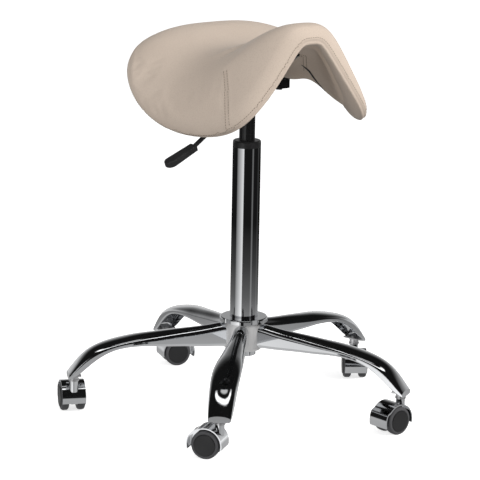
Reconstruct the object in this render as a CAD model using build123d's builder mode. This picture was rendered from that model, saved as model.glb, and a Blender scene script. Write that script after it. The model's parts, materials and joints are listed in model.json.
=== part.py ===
from build123d import *
import os
from math import cos, exp, radians, sin, sqrt

# A saddle stool on a gas lift and a five-arm castor base.
# Frame: +Z up, origin on the floor under the column, the pommel (the sitter's front) towards -Y.
# Every length is in millimetres and every angle in degrees.

os.makedirs("parts", exist_ok=True)

# ---- driving dimensions -------------------------------------------------------------------------

# Base
ARM_COUNT = 5
FIRST_ARM_AZIMUTH = 155.7
STEM_CIRCLE_R = 305.6
SHEET = 2.5
HUB_R = 36.0
HUB_BOTTOM_Z = 109.0
HUB_TOP_Z = 161.0
FLANGE_R = 43.0
FLANGE_TOP_Z = 169.0

# Castors
WHEEL_R = 25.0
WHEEL_INNER_Y = 7.5
TYRE_WIDTH = 14.0
WHEEL_HUB_R = 19.6
WHEEL_DOME = 1.5
TRAIL = 20.0
AXLE_R = 3.0
STEM_R = 5.5
NECK_R = 8.0
NECK_TOP_Z = 58.5
HOOD_HALF_WIDTH = 21.0
HOOD_WALL = 2.0
CAP_R = 30.0
BAND_R = 33.5
# Direction in which each castor trails, arm by arm
TRAIL_AZIMUTHS = (67.6, 127.6, 185.6, 238.6, 344.6)

# Gas lift
TUBE_R = 25.0
TUBE_WALL = 2.0
TUBE_BOTTOM_Z = 99.0
TUBE_TOP_Z = 477.0
TUBE_FOOT_R = 22.5
SLEEVE_TOP_Z = 489.0
SLEEVE_BOTTOM_Z = 405.0
CYLINDER_R = 14.0
CYLINDER_BORE_R = 12.0
CYLINDER_BOTTOM_Z = 280.0
CYLINDER_TOP_Z = 590.0
TAPER_START_Z = 548.0
TAPER_TOP_R = 13.2
ROD_R = 5.0
ROD_TOP_Z = 462.0
PISTON_HEIGHT = 16.0
BUTTON_R = 3.9
BUTTON_BOTTOM_Z = 577.0
BUTTON_TOP_Z = 595.0
RUNNING_GAP = 0.05

# Mechanism
TRAY_BOTTOM_Z = 587.0
TRAY_PLATE = 3.0
TRAY_HALF_X = 50.0
TRAY_HALF_Y = 62.0
TRAY_WALL_TOP_Z = 602.0
SOCKET_R = 21.0
LEVER_AZIMUTH = 188.0
LEVER_R = 4.0
LEVER_Z = 599.5
PIVOT_FROM_AXIS = 38.0
SCREW_X = 34.0
SCREW_Y = 46.0
SCREW_R = 3.0

# Saddle: the seat is a thick sheet bent over a ridge.  Station t runs from -1 (front) to 1 (back).
SEAT_MIDDLE_Y = -17.3
SEAT_HALF_LENGTH = 170.2
RIDGE_Z = (707.5, 696.6, 659.3, 674.8, 663.8)
WING_SLOPE = (54.2, 60.7, 48.7, 40.0)
SLOPE_REACH = (32.4, 128.5, 188.0, 127.5)
ARC_HALF_WIDTH = (299.2, 267.5, 244.4, 183.1)
CORNER_POWER = 3.6
CUSHION_CENTRE = 36.0
CUSHION_RIM_EXTRA = -1.0
RIM_RUN = 185.0
SHELL_PLY = 4.5
COVER_PLY = 2.7
LAYER_GAP = 1.0


# ---- helpers ------------------------------------------------------------------------------------


def finish(part, name):
    """Label a finished piece and write it as one STEP file."""
    part.label = name
    export_step(part, f"parts/{name}.step")


def radial_plane(azimuth, radius):
    """Upright plane across an arm: local x is tangential and local y is up."""
    a = radians(azimuth)
    out = (cos(a), sin(a), 0)
    return Plane(origin=(radius * out[0], radius * out[1], 0), x_dir=(-out[1], out[0], 0), z_dir=out)


def trail_plane(azimuth, origin, side=1):
    """Upright plane along a direction: local x runs along it, and the normal is to one side of it."""
    a = radians(azimuth)
    return Plane(origin=origin, x_dir=(cos(a), sin(a), 0), z_dir=(side * sin(a), -side * cos(a), 0))


def polar(radius, azimuth, z=0.0):
    return (radius * cos(radians(azimuth)), radius * sin(radians(azimuth)), z)


def ring(plane, outer, inner, start, height):
    """A plain ring standing on a plane."""
    with BuildPart() as made:
        with BuildSketch(plane.offset(start)):
            Circle(outer)
            Circle(inner, mode=Mode.SUBTRACT)
        extrude(amount=height)
    return made.part


def turned(points):
    """A body turned about the column axis from (radius, height) points."""
    with BuildPart() as made:
        with BuildSketch(Plane.XZ):
            with BuildLine():
                Polyline(*points, close=True)
            make_face()
        revolve(axis=Axis.Z)
    return made.part


# ---- base: hub, flange and arms ------------------------------------------------------------------

TUBE_TAPER_START_Z = 172.0


def tube_radius(z):
    """Outer radius of the column tube, which tapers where it sits in the hub."""
    share = min(1.0, max(0.0, (z - TUBE_BOTTOM_Z) / (TUBE_TAPER_START_Z - TUBE_BOTTOM_Z)))
    return TUBE_FOOT_R + (TUBE_R - TUBE_FOOT_R) * share


with BuildPart() as base_hub:
    with BuildSketch(Plane.XZ):
        with BuildLine():
            Polyline(
                (tube_radius(HUB_BOTTOM_Z) + RUNNING_GAP, HUB_BOTTOM_Z),
                (HUB_R - 5, HUB_BOTTOM_Z),
                (HUB_R, HUB_BOTTOM_Z + 5),
                (HUB_R, HUB_TOP_Z),
                (tube_radius(HUB_TOP_Z) + RUNNING_GAP, HUB_TOP_Z),
                close=True,
            )
        make_face()
    revolve(axis=Axis.Z)
finish(base_hub.part, "base_hub")

with BuildPart() as hub_flange:
    with BuildSketch(Plane.XY.offset(HUB_TOP_Z)):
        Circle(FLANGE_R)
    extrude(amount=FLANGE_TOP_Z - HUB_TOP_Z)
    fillet(hub_flange.faces().sort_by(Axis.Z)[-1].edges(), radius=2.5)
    with BuildSketch(Plane.XY.offset(HUB_TOP_Z)):
        Circle(TUBE_R + RUNNING_GAP)
    extrude(amount=FLANGE_TOP_Z - HUB_TOP_Z, mode=Mode.SUBTRACT)
    with BuildSketch(Plane.XY.offset(HUB_TOP_Z)):
        with PolarLocations(FLANGE_R + 1, ARM_COUNT, start_angle=FIRST_ARM_AZIMUTH + 36):
            SlotOverall(16, 7, rotation=90)
    extrude(amount=FLANGE_TOP_Z - HUB_TOP_Z, mode=Mode.SUBTRACT)
finish(hub_flange.part, "hub_flange")

# Stations of an arm: distance from the column, width, top, bottom, height of the rounded belly
ARM_STATIONS = (
    (33, 27, 158, 113.5, 8),
    (61, 28.5, 154.5, 114.5, 8),
    (90, 31.5, 151, 115.7, 8),
    (118, 35.5, 148.7, 117, 8),
    (147, 40, 146, 118, 8),
    (175, 44.5, 143.3, 119.7, 8),
    (204, 48, 139.3, 119.3, 7),
    (232, 49.5, 133.5, 115, 6),
    (260, 48.5, 125.3, 103, 5),
    (288, 45, 109, 81, 5),
    (316, 39, 75, 63.5, 3),
)
INNER_TIP_STATION = (311.5, 35, 79.5, 66.5, 3)
MOUTH_CROWN = 8.0
MOUTH_START_R = 226.0

# Castor sockets: a sleeve welded through a plate inside each arm tip
SLEEVE_FOOT_Z = 62.0
SLEEVE_HEAD_Z = 74.0
SOCKET_PLATE_Z = 70.0
SOCKET_SLEEVE_R = 8.5


def arm_section(azimuth, radius, width, top, bottom, belly):
    """Rounded section of an arm: a domed crown, short upright sides and a shallow belly."""
    crown = min(13.0, 0.5 * (top - bottom))
    half = width / 2
    with BuildSketch(radial_plane(azimuth, radius)) as section:
        with BuildLine():
            EllipticalCenterArc((0, top - crown), half, crown, 0, arc_size=180)
            Line((-half, top - crown), (-half, bottom + belly))
            EllipticalCenterArc((0, bottom + belly), half, belly, 180, arc_size=180)
            Line((half, bottom + belly), (half, top - crown))
        make_face()
    return section.sketch


def arm_width_and_top(radius):
    """Width and top height of an arm between its stations."""
    for (r0, w0, t0, _, _), (r1, w1, t1, _, _) in zip(ARM_STATIONS, ARM_STATIONS[1:]):
        if r0 <= radius <= r1:
            share = (radius - r0) / (r1 - r0)
            return w0 + (w1 - w0) * share, t0 + (t1 - t0) * share
    return ARM_STATIONS[-1][1], ARM_STATIONS[-1][2]


def make_arm(azimuth):
    """One pressed arm, hollow, with its underside open near the tip."""
    outside = [arm_section(azimuth, *station) for station in ARM_STATIONS]
    inside = [
        arm_section(azimuth, radius, width - 2 * SHEET, top - SHEET, bottom + SHEET, belly - 1)
        for radius, width, top, bottom, belly in ARM_STATIONS[1:-1]
    ]
    inside.append(arm_section(azimuth, *INNER_TIP_STATION))
    with BuildPart() as arm:
        loft(outside)
        loft(inside, mode=Mode.SUBTRACT)
        for radius in (MOUTH_START_R, 247, 268, 290, 311):
            width, top = arm_width_and_top(radius)
            with BuildSketch(radial_plane(azimuth, radius)):
                with Locations((0, (top - MOUTH_CROWN) / 2)):
                    Rectangle(width - 2 * SHEET, top - MOUTH_CROWN)
        loft(mode=Mode.SUBTRACT)
        with BuildSketch(Plane.XY.offset(HUB_BOTTOM_Z - 10)):
            Circle(HUB_R)
        extrude(amount=HUB_TOP_Z - HUB_BOTTOM_Z + 10, mode=Mode.SUBTRACT)
        with BuildSketch(Plane(origin=polar(STEM_CIRCLE_R, azimuth, SLEEVE_FOOT_Z - 10))):
            Circle(SOCKET_SLEEVE_R)
        extrude(amount=SLEEVE_HEAD_Z - SLEEVE_FOOT_Z + 10, mode=Mode.SUBTRACT)
    return arm.part


ARM_AZIMUTHS = [FIRST_ARM_AZIMUTH + 360 / ARM_COUNT * k for k in range(ARM_COUNT)]
for number, azimuth in enumerate(ARM_AZIMUTHS, start=1):
    finish(make_arm(azimuth), f"arm_{number}")

with BuildPart() as castor_sockets:
    for azimuth in ARM_AZIMUTHS:
        sleeve_foot = Plane(origin=polar(STEM_CIRCLE_R, azimuth, SLEEVE_FOOT_Z))
        plate_centre = polar(STEM_CIRCLE_R - 3, azimuth, SOCKET_PLATE_Z)
        with BuildSketch(sleeve_foot):
            Circle(SOCKET_SLEEVE_R)
        extrude(amount=SLEEVE_HEAD_Z - SLEEVE_FOOT_Z)
        with BuildSketch(Plane(origin=plate_centre, x_dir=polar(1, azimuth))):
            Rectangle(17, 33)
        extrude(amount=SHEET)
        with BuildSketch(sleeve_foot):
            Circle(STEM_R)
        extrude(amount=SLEEVE_HEAD_Z - SLEEVE_FOOT_Z, mode=Mode.SUBTRACT)
finish(castor_sockets.part, "castor_sockets")

STEM_BOTTOM_Z = 42.0
WASHER_Z = 59.0
with BuildPart() as castor_stems:
    for azimuth in ARM_AZIMUTHS:
        foot = Plane(origin=polar(STEM_CIRCLE_R, azimuth))
        with BuildSketch(foot.offset(STEM_BOTTOM_Z)):
            Circle(STEM_R)
        extrude(amount=SLEEVE_HEAD_Z - STEM_BOTTOM_Z)
        with BuildSketch(foot.offset(WASHER_Z)):
            Circle(NECK_R + 1.5)
        extrude(amount=SLEEVE_FOOT_Z - WASHER_Z)
finish(castor_stems.part, "castor_stems")

# ---- castors --------------------------------------------------------------------------------------

AXLE_CENTRE = (TRAIL, WHEEL_R)
CAP_FRONT_ANGLE = 193.0
CAP_REAR_ANGLE = 42.0
BAND_TOP_ANGLE = 30.0
BAND_LIP_ANGLE = -16.0
WEB_HALF_WIDTH = 6.0


def around_axle(radius, angle):
    """A point at a radius and angle about the axle, in a castor's side plane."""
    return (TRAIL + radius * cos(radians(angle)), WHEEL_R + radius * sin(radians(angle)))


def hood_strip(side):
    """Side outline of the hood's skin: a cap over the wheels, a ledge, then a wider rear band."""
    inner_cap = CAP_R - HOOD_WALL
    inner_band = BAND_R - HOOD_WALL
    cap_sweep = CAP_REAR_ANGLE - CAP_FRONT_ANGLE
    band_sweep = BAND_LIP_ANGLE - BAND_TOP_ANGLE
    with BuildSketch(side) as strip:
        with BuildLine():
            CenterArc(AXLE_CENTRE, CAP_R, CAP_FRONT_ANGLE, cap_sweep)
            Line(around_axle(CAP_R, CAP_REAR_ANGLE), around_axle(BAND_R, BAND_TOP_ANGLE))
            CenterArc(AXLE_CENTRE, BAND_R, BAND_TOP_ANGLE, band_sweep)
            Line(around_axle(BAND_R, BAND_LIP_ANGLE), around_axle(inner_band, BAND_LIP_ANGLE))
            CenterArc(AXLE_CENTRE, inner_band, BAND_LIP_ANGLE, -band_sweep - 3)
            Line(around_axle(inner_band, BAND_TOP_ANGLE - 3), around_axle(inner_cap, CAP_REAR_ANGLE - 3))
            CenterArc(AXLE_CENTRE, inner_cap, CAP_REAR_ANGLE - 3, -cap_sweep + 3)
            Line(around_axle(inner_cap, CAP_FRONT_ANGLE), around_axle(CAP_R, CAP_FRONT_ANGLE))
        make_face()
    return strip.sketch


def make_hood(azimuth, stem):
    """A castor's one-piece hood: skin, centre web and swivel neck."""
    side = trail_plane(azimuth, stem)
    with BuildPart() as hood:
        extrude(hood_strip(side), amount=HOOD_HALF_WIDTH, both=True)
        with BuildSketch(side):
            with Locations(AXLE_CENTRE):
                Circle(CAP_R - 1)
            with Locations((TRAIL, 0)):
                Rectangle(2 * BAND_R, 2 * (WHEEL_R - 8), mode=Mode.SUBTRACT)
        extrude(amount=WEB_HALF_WIDTH, both=True)
        with BuildSketch(Plane(origin=stem).offset(STEM_BOTTOM_Z - 3)):
            Circle(NECK_R)
        extrude(amount=NECK_TOP_Z - STEM_BOTTOM_Z + 3)
        with BuildSketch(Plane(origin=stem).offset(STEM_BOTTOM_Z - 1)):
            Circle(STEM_R + RUNNING_GAP)
        extrude(amount=NECK_TOP_Z, mode=Mode.SUBTRACT)
        with BuildSketch(side):
            with Locations(AXLE_CENTRE):
                Circle(AXLE_R)
        extrude(amount=HOOD_HALF_WIDTH, both=True, mode=Mode.SUBTRACT)
    return hood.part


def make_tyre(azimuth, stem, side):
    """Soft tread ring of one wheel."""
    face = trail_plane(azimuth, stem, side)
    with BuildPart() as tyre:
        with BuildSketch(face.offset(WHEEL_INNER_Y)):
            with Locations((TRAIL, side * WHEEL_R)):
                Circle(WHEEL_R)
        extrude(amount=TYRE_WIDTH)
        outer = tyre.edges().sort_by(SortBy.LENGTH)[-2:]
        fillet(outer, radius=4.5)
        with BuildSketch(face.offset(WHEEL_INNER_Y)):
            with Locations((TRAIL, side * WHEEL_R)):
                Circle(WHEEL_HUB_R)
        extrude(amount=TYRE_WIDTH, mode=Mode.SUBTRACT)
    return tyre.part


def make_wheel_hub(azimuth, stem, side):
    """Hard centre of one wheel, closed outside and bored from inside for the axle."""
    face = trail_plane(azimuth, stem, side)
    with BuildPart() as hub:
        with BuildSketch(face.offset(WHEEL_INNER_Y)):
            with Locations((TRAIL, side * WHEEL_R)):
                Circle(WHEEL_HUB_R)
        extrude(amount=TYRE_WIDTH)
        with BuildSketch(face.offset(WHEEL_INNER_Y + TYRE_WIDTH)):
            with Locations((TRAIL, side * WHEEL_R)):
                Circle(WHEEL_HUB_R - 0.5)
        extrude(amount=WHEEL_DOME, taper=40)
        with BuildSketch(face.offset(WHEEL_INNER_Y)):
            with Locations((TRAIL, side * WHEEL_R)):
                Circle(AXLE_R + RUNNING_GAP)
        extrude(amount=TYRE_WIDTH - 2, mode=Mode.SUBTRACT)
    return hub.part


def make_axle(azimuth, stem):
    with BuildPart() as axle:
        with BuildSketch(trail_plane(azimuth, stem)):
            with Locations(AXLE_CENTRE):
                Circle(AXLE_R)
        extrude(amount=WHEEL_INNER_Y + TYRE_WIDTH - 2.5, both=True)
    return axle.part


for number, (azimuth, trail_azimuth) in enumerate(zip(ARM_AZIMUTHS, TRAIL_AZIMUTHS), start=1):
    stem_foot = polar(STEM_CIRCLE_R, azimuth)
    finish(make_hood(trail_azimuth, stem_foot), f"castor_{number}_hood")
    finish(make_axle(trail_azimuth, stem_foot), f"castor_{number}_axle")
    for side_name, side in (("right", 1), ("left", -1)):
        finish(make_tyre(trail_azimuth, stem_foot, side), f"castor_{number}_{side_name}_tyre")
        finish(make_wheel_hub(trail_azimuth, stem_foot, side), f"castor_{number}_{side_name}_hub")

# ---- gas lift ---------------------------------------------------------------------------------------

BORE_R = TUBE_R - TUBE_WALL
FLOOR_PLATE = 3.0
BEARING_BOTTOM_Z = TUBE_BOTTOM_Z + FLOOR_PLATE
BEARING_HEIGHT = 8.0
COLLAR_BOTTOM_Z = BEARING_BOTTOM_Z + BEARING_HEIGHT
finish(
    turned(
        [
            (ROD_R + 0.5, TUBE_BOTTOM_Z),
            (TUBE_FOOT_R, TUBE_BOTTOM_Z),
            (TUBE_R, TUBE_TAPER_START_Z),
            (TUBE_R, TUBE_TOP_Z),
            (BORE_R, TUBE_TOP_Z),
            (BORE_R, TUBE_TAPER_START_Z),
            (TUBE_FOOT_R - TUBE_WALL, BEARING_BOTTOM_Z),
            (ROD_R + 0.5, BEARING_BOTTOM_Z),
        ]
    ),
    "column_tube",
)

with BuildPart() as guide_sleeve:
    with BuildSketch(Plane.XY.offset(SLEEVE_BOTTOM_Z)):
        Circle(BORE_R)
    extrude(amount=TUBE_TOP_Z - SLEEVE_BOTTOM_Z)
    with BuildSketch(Plane.XY.offset(TUBE_TOP_Z)):
        Circle(TUBE_R)
    extrude(amount=SLEEVE_TOP_Z - TUBE_TOP_Z)
    fillet(guide_sleeve.faces().sort_by(Axis.Z)[-1].edges(), radius=3)
    with BuildSketch(Plane.XY.offset(SLEEVE_BOTTOM_Z)):
        Circle(CYLINDER_R + RUNNING_GAP)
    extrude(amount=SLEEVE_TOP_Z - SLEEVE_BOTTOM_Z, mode=Mode.SUBTRACT)
finish(guide_sleeve.part, "guide_sleeve")

finish(ring(Plane.XY, 14, ROD_R + 0.5, BEARING_BOTTOM_Z, BEARING_HEIGHT), "thrust_bearing")

CLIP_GROOVE_Z = TUBE_BOTTOM_Z - 2.2
CLIP_HEIGHT = 1.8
ROD_BOTTOM_Z = CLIP_GROOVE_Z - 1.8
finish(
    turned(
        [
            (0, ROD_BOTTOM_Z),
            (ROD_R, ROD_BOTTOM_Z),
            (ROD_R, COLLAR_BOTTOM_Z + RUNNING_GAP),
            (9, COLLAR_BOTTOM_Z + RUNNING_GAP),
            (9, COLLAR_BOTTOM_Z + 4),
            (ROD_R, COLLAR_BOTTOM_Z + 4),
            (ROD_R, ROD_TOP_Z),
            (0, ROD_TOP_Z),
        ]
    ),
    "piston_rod",
)
finish(ring(Plane.XY, 9.5, ROD_R, CLIP_GROOVE_Z, CLIP_HEIGHT), "rod_clip")
finish(
    ring(Plane.XY, CYLINDER_BORE_R - RUNNING_GAP, ROD_R, ROD_TOP_Z - PISTON_HEIGHT, PISTON_HEIGHT),
    "piston_head",
)

CAVITY_TOP_Z = 560.0
BUTTON_BORE_BOTTOM_Z = CAVITY_TOP_Z + 12
finish(
    turned(
        [
            (CYLINDER_BORE_R, CYLINDER_BOTTOM_Z),
            (CYLINDER_R, CYLINDER_BOTTOM_Z),
            (CYLINDER_R, TAPER_START_Z),
            (TAPER_TOP_R, CYLINDER_TOP_Z),
            (BUTTON_R + RUNNING_GAP, CYLINDER_TOP_Z),
            (BUTTON_R + RUNNING_GAP, BUTTON_BORE_BOTTOM_Z),
            (0, BUTTON_BORE_BOTTOM_Z),
            (0, CAVITY_TOP_Z),
            (CYLINDER_BORE_R, CAVITY_TOP_Z),
        ]
    ),
    "gas_cylinder",
)
finish(ring(Plane.XY, CYLINDER_BORE_R, ROD_R + RUNNING_GAP, CYLINDER_BOTTOM_Z + 2, 14), "rod_seal")

with BuildPart() as valve_button:
    with BuildSketch(Plane.XY.offset(BUTTON_BOTTOM_Z)):
        Circle(BUTTON_R)
    extrude(amount=BUTTON_TOP_Z - BUTTON_BOTTOM_Z)
    fillet(valve_button.faces().sort_by(Axis.Z)[-1].edges(), radius=1)
finish(valve_button.part, "valve_button")

# ---- saddle surface ---------------------------------------------------------------------------------


def along(t, values):
    """Smooth value at station t through evenly spaced values from front to back."""
    count = len(values)
    knots = [-1 + 2 * k / (count - 1) for k in range(count)]
    total = 0.0
    for i, value in enumerate(values):
        weight = 1.0
        for j, knot in enumerate(knots):
            if j != i:
                weight *= (t - knot) / (knots[i] - knot)
        total += value * weight
    return total


def station_y(t):
    return SEAT_MIDDLE_Y + SEAT_HALF_LENGTH * t


def top_skin(t, arc):
    """Half-width, height and slope of the top skin at an arc distance from the ridge."""
    steps = 24
    slope_limit = radians(along(t, WING_SLOPE))
    reach = along(t, SLOPE_REACH)
    x = 0.0
    z = along(t, RIDGE_Z)
    for k in range(steps):
        slope = slope_limit * (1 - exp(-((arc * (k + 0.5) / steps / reach) ** 2)))
        x += cos(slope) * arc / steps
        z -= sin(slope) * arc / steps
    return x, z, slope_limit * (1 - exp(-((arc / reach) ** 2)))


def rim_share(t, arc):
    """0 on the middle of the seat and 1 on its rim."""
    return ((arc / along(t, ARC_HALF_WIDTH)) ** CORNER_POWER + abs(t) ** CORNER_POWER) ** (1 / CORNER_POWER)


def arc_limit(t, scale):
    """Arc distance of an outline, scaled from the seat's rim, at station t."""
    return along(t, ARC_HALF_WIDTH) * (scale**CORNER_POWER - abs(t) ** CORNER_POWER) ** (1 / CORNER_POWER)


def cushion_depth(share):
    return CUSHION_CENTRE + CUSHION_RIM_EXTRA * share**4


def cushion_faces(share):
    """Depths of the cushion's upper and lower faces, which meet in a round rim."""
    full = cushion_depth(share)
    run = full / 2
    inset = max(0.0, (share * RIM_RUN - (RIM_RUN - run)) / run)
    half = run * sqrt(max(0.0, 1 - inset**2))
    return run - half, run + half


def below(t, arc, depth):
    """Point at a depth under the top skin, square to it, in the section at station t."""
    x, z, slope = top_skin(t, arc)
    return x - depth * sin(slope), z - depth * cos(slope)


def upright_section(t, arcs, faces):
    """Section of a seat layer at station t, out to the last of the arc distances on both sides."""
    upper = [below(t, arc, faces(rim_share(t, arc))[0]) for arc in arcs]
    lower = [below(t, arc, faces(rim_share(t, arc))[1]) for arc in arcs]
    over = [(-x, z) for x, z in reversed(upper[1:])] + upper
    under = [(-x, z) for x, z in reversed(lower[1:])] + lower
    with BuildSketch(Plane.XZ.offset(-station_y(t))) as section:
        with BuildLine():
            Spline(*over)
            Line(over[-1], under[-1])
            Spline(*reversed(under))
            Line(under[0], over[0])
        make_face()
    return section.sketch


ARC_SHARES = (0, 0.2, 0.4, 0.58, 0.74, 0.86, 0.94, 0.985)


def layer(scale, faces, stations):
    """A closed layer of the seat, lofted through upright sections from front to back."""
    sections = []
    for t in stations:
        limit = arc_limit(t, scale)
        sections.append(upright_section(t, [share * limit for share in ARC_SHARES], faces))
    with BuildPart() as made:
        loft(sections)
    return made.part


FULL_STATIONS = (-0.985, -0.93, -0.82, -0.62, -0.38, -0.1, 0.2, 0.5, 0.74, 0.88, 0.96, 0.985)


def scaled_stations(scale):
    return [t * scale for t in (-0.96, -0.8, -0.55, -0.25, 0.1, 0.45, 0.75, 0.96)]


def shell_faces(share):
    top = cushion_depth(share) + LAYER_GAP
    return top, top + SHELL_PLY


def cover_faces(share):
    top = cushion_depth(share) + 2 * LAYER_GAP + SHELL_PLY
    return top, top + COVER_PLY


def bracket_faces(share):
    top = cover_faces(share)[1] + LAYER_GAP
    return top, top + TRAY_PLATE


SHELL_SCALE = 0.80
COVER_SCALE = 0.85
SCREW_PLACES = [(x, y) for x in (-SCREW_X, SCREW_X) for y in (-SCREW_Y, SCREW_Y)]

finish(layer(1.0, cushion_faces, FULL_STATIONS), "seat_cushion")

with BuildPart() as seat_shell:
    add(layer(SHELL_SCALE, shell_faces, scaled_stations(SHELL_SCALE)))
    with Locations(*[(x, y, RIDGE_Z[2]) for x, y in SCREW_PLACES]):
        Cylinder(SCREW_R + 0.1, 200, mode=Mode.SUBTRACT)
finish(seat_shell.part, "seat_shell")

with BuildPart() as bottom_cover:
    add(layer(COVER_SCALE, cover_faces, scaled_stations(COVER_SCALE)))
    with Locations(*[(x, y, RIDGE_Z[2]) for x, y in SCREW_PLACES]):
        Cylinder(SCREW_R + 0.1, 200, mode=Mode.SUBTRACT)
finish(bottom_cover.part, "bottom_cover")


def skin_depth_z(x, y, faces, side):
    """Height of a layer's face above a point of the plan."""
    t = (y - SEAT_MIDDLE_Y) / SEAT_HALF_LENGTH
    arc = abs(x)
    for _ in range(6):
        reached, _, _ = top_skin(t, arc)
        arc += abs(x) - reached
    return below(t, arc, faces(rim_share(t, arc))[side])[1]


# ---- mechanism ----------------------------------------------------------------------------------------

TRAY_TOP_Z = TRAY_BOTTOM_Z + TRAY_PLATE
EAR_GAP = 8.0
EAR_THICKNESS = 3.0
PIN_R = 2.5
PIN_HALF_LENGTH = 13.0
LEVER_SIDE = trail_plane(LEVER_AZIMUTH, (0, 0, 0))

with BuildPart() as mechanism_tray:
    with BuildSketch(Plane.XY.offset(TRAY_BOTTOM_Z)):
        RectangleRounded(2 * TRAY_HALF_X, 2 * TRAY_HALF_Y, 10)
    extrude(amount=TRAY_WALL_TOP_Z - TRAY_BOTTOM_Z)
    with BuildSketch(Plane.XY.offset(TRAY_TOP_Z)):
        RectangleRounded(2 * (TRAY_HALF_X - TRAY_PLATE), 2 * (TRAY_HALF_Y - TRAY_PLATE), 7)
    extrude(amount=TRAY_WALL_TOP_Z - TRAY_TOP_Z, mode=Mode.SUBTRACT)
    for side in (-1, 1):
        with BuildSketch(LEVER_SIDE.offset(side * (EAR_GAP + EAR_THICKNESS / 2))):
            with Locations((PIVOT_FROM_AXIS, TRAY_TOP_Z + 7)):
                Rectangle(14, 16)
        extrude(amount=EAR_THICKNESS / 2, both=True)
    with BuildSketch(LEVER_SIDE):
        with Locations((PIVOT_FROM_AXIS, LEVER_Z)):
            Circle(PIN_R)
    extrude(amount=PIN_HALF_LENGTH, both=True, mode=Mode.SUBTRACT)
    with BuildSketch(LEVER_SIDE):
        with Locations((TRAY_HALF_X, LEVER_Z + 2)):
            Rectangle(14, 16)
    extrude(amount=LEVER_R + 2, both=True, mode=Mode.SUBTRACT)
    with BuildSketch(Plane.XY.offset(TRAY_BOTTOM_Z)):
        Circle(SOCKET_R)
        with Locations(*SCREW_PLACES):
            Circle(SCREW_R)
    extrude(amount=TRAY_PLATE, mode=Mode.SUBTRACT)
finish(mechanism_tray.part, "mechanism_tray")

TAPER_SOCKET_FOOT_Z = 552.0


def taper_radius(z):
    share = (z - TAPER_START_Z) / (CYLINDER_TOP_Z - TAPER_START_Z)
    return CYLINDER_R + (TAPER_TOP_R - CYLINDER_R) * share


finish(
    turned(
        [
            (taper_radius(TAPER_SOCKET_FOOT_Z), TAPER_SOCKET_FOOT_Z),
            (SOCKET_R - 3, TAPER_SOCKET_FOOT_Z),
            (SOCKET_R, TAPER_SOCKET_FOOT_Z + 3),
            (SOCKET_R, TRAY_TOP_Z),
            (taper_radius(TRAY_TOP_Z), TRAY_TOP_Z),
        ]
    ),
    "taper_socket",
)

with BuildPart() as lever_pin:
    with BuildSketch(LEVER_SIDE):
        with Locations((PIVOT_FROM_AXIS, LEVER_Z)):
            Circle(PIN_R)
    extrude(amount=PIN_HALF_LENGTH, both=True)
finish(lever_pin.part, "lever_pin")

# The lever rod: level over the valve, then cranked down under the wing to the grip
LEVER_ROUTE = ((-5, LEVER_Z), (64, LEVER_Z), (92, 513), (142, 482))
LEVER_BENDS = (10, 22)
GRIP_LENGTH = 68.0
GRIP_DROP = 21.0
BOSS_R = 5.2
with BuildPart() as lever_rod:
    with BuildLine(LEVER_SIDE) as lever_path:
        FilletPolyline(*LEVER_ROUTE, radius=LEVER_BENDS)
    start = LEVER_SIDE.from_local_coords((LEVER_ROUTE[0][0], LEVER_ROUTE[0][1], 0))
    with BuildSketch(Plane(origin=start, z_dir=polar(1, LEVER_AZIMUTH))):
        Circle(LEVER_R)
    sweep(path=lever_path.wire())
    with BuildSketch(LEVER_SIDE):
        with Locations((PIVOT_FROM_AXIS, LEVER_Z)):
            Circle(BOSS_R)
    extrude(amount=EAR_GAP - 0.5, both=True)
    with BuildSketch(LEVER_SIDE):
        with Locations((PIVOT_FROM_AXIS, LEVER_Z)):
            Circle(PIN_R + RUNNING_GAP)
    extrude(amount=PIN_HALF_LENGTH, both=True, mode=Mode.SUBTRACT)
finish(lever_rod.part, "lever_rod")

GRIP_PLANE = Plane(
    origin=LEVER_SIDE.from_local_coords((LEVER_ROUTE[-1][0] - 16, LEVER_ROUTE[-1][1] + 9.0, 0)),
    x_dir=(cos(radians(GRIP_DROP)) * cos(radians(LEVER_AZIMUTH)),
           cos(radians(GRIP_DROP)) * sin(radians(LEVER_AZIMUTH)),
           -sin(radians(GRIP_DROP))),
    z_dir=(sin(radians(GRIP_DROP)) * cos(radians(LEVER_AZIMUTH)),
           sin(radians(GRIP_DROP)) * sin(radians(LEVER_AZIMUTH)),
           cos(radians(GRIP_DROP))),
)
with BuildPart() as lever_grip:
    with BuildSketch(GRIP_PLANE):
        with BuildLine():
            Polyline((GRIP_LENGTH - 12, 12), (0, 9), (0, -9), (GRIP_LENGTH - 12, -12))
            RadiusArc((GRIP_LENGTH - 12, 12), (GRIP_LENGTH - 12, -12), 12.01)
        make_face()
    extrude(amount=6, both=True)
    fillet(lever_grip.edges().filter_by(GeomType.LINE).group_by(SortBy.LENGTH)[-1], radius=3)
    add(lever_rod.part, mode=Mode.SUBTRACT)
finish(lever_grip.part, "lever_grip")

HEAD_HEIGHT = 4.0
with BuildPart() as seat_screws:
    for x, y in SCREW_PLACES:
        top_z = skin_depth_z(x, y, shell_faces, 0) - 2
        with BuildSketch(Plane(origin=(x, y, TRAY_BOTTOM_Z))):
            Circle(SCREW_R)
        extrude(amount=top_z - TRAY_BOTTOM_Z)
        with BuildSketch(Plane(origin=(x, y, TRAY_BOTTOM_Z - HEAD_HEIGHT))):
            RegularPolygon(6, 6)
        extrude(amount=HEAD_HEIGHT)
finish(seat_screws.part, "seat_screws")

with BuildPart() as seat_spacers:
    for x, y in SCREW_PLACES:
        outer_x = x + 7 if x > 0 else x - 7
        top_z = min(skin_depth_z(outer_x, y + step, cover_faces, 1) for step in (-7, 7))
        with BuildSketch(Plane(origin=(x, y, TRAY_TOP_Z))):
            Circle(6.5)
            Circle(SCREW_R + 0.1, mode=Mode.SUBTRACT)
        extrude(amount=top_z - LAYER_GAP - TRAY_TOP_Z)
finish(seat_spacers.part, "seat_spacers")

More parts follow.
